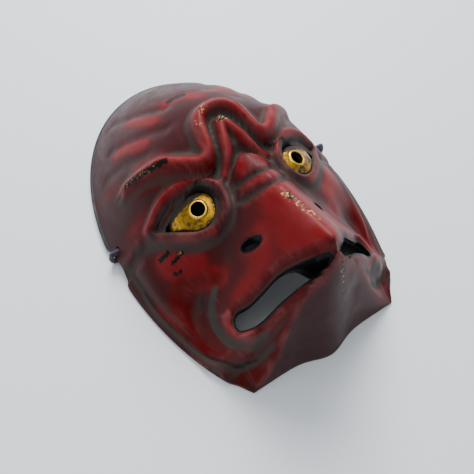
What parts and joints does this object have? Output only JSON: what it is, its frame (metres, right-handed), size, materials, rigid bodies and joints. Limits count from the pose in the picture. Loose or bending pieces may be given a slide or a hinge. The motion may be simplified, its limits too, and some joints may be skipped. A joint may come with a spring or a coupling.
{
  "type": "noh mask",
  "caption": "Carved wooden noh mask of a beaked mountain goblin in worn red lacquer, with gilt eyes, a black rim and a tie cord, lying face up.",
  "frame": {"origin": "under the middle of the rim, on the surface that the mask lies on", "axes": "+Z out of the face, +Y up the face to the forehead, +X to the viewer's right"},
  "size_m": [0.1556, 0.2212, 0.0932],
  "materials": {
    "red_lacquer": "worn red lacquer over brown, satin",
    "black_lacquer": "black lacquer, satin",
    "black_lining": "black lacquer over cloth, dull satin",
    "gilt": "worn gold leaf on copper",
    "putty": "lacquer putty, matt",
    "silk_cord": "braided silk, dull",
    "pad_cloth": "woven cotton, matt"
  },
  "bodies": {
    "root": {"carved_shell": "red_lacquer", "rim_band": "black_lacquer", "back_lining": "black_lining", "left_eye_plate": "gilt", "right_eye_plate": "gilt", "left_eye_bedding": "putty", "right_eye_bedding": "putty", "left_tie_loop": "silk_cord", "right_tie_loop": "silk_cord", "cord_lead_left": "silk_cord", "cord_lead_right": "silk_cord", "cord_coil": "silk_cord", "coil_tie": "silk_cord", "forehead_pad": "pad_cloth", "left_cheek_pad": "pad_cloth", "right_cheek_pad": "pad_cloth"}
  },
  "joints": []
}
